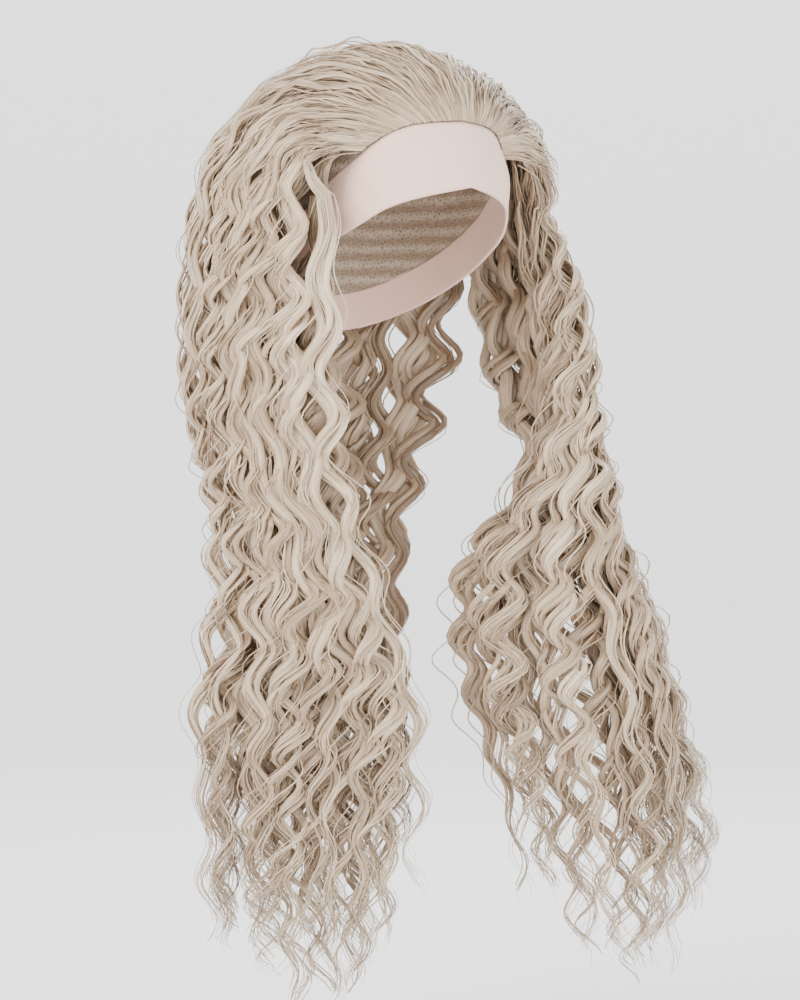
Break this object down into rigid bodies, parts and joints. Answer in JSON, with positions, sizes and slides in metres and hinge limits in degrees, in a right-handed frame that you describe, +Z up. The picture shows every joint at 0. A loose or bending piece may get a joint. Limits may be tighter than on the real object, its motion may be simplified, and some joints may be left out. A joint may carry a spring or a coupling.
{
  "type": "half wig",
  "caption": "Half wig on a wide stretch headband, with a thin cap and long waved hair that falls over both shoulders and behind.",
  "frame": {"origin": "the point inside the top of the cap that rests on the crown of the head", "axes": "+Z up, -Y towards the front of the wearer, -X towards the wearer's right"},
  "size_m": [0.3872, 0.2726, 0.6672],
  "materials": {
    "band_cloth": "matt blush stretch jersey",
    "cap_cloth": "matt net",
    "hair": "ash blonde hair fibre, soft sheen"
  },
  "bodies": {
    "root": {"headband": "band_cloth", "wig_cap": "cap_cloth", "crown_hair": "hair", "right_hair": "hair", "left_hair": "hair", "back_hair": "hair"}
  },
  "joints": []
}
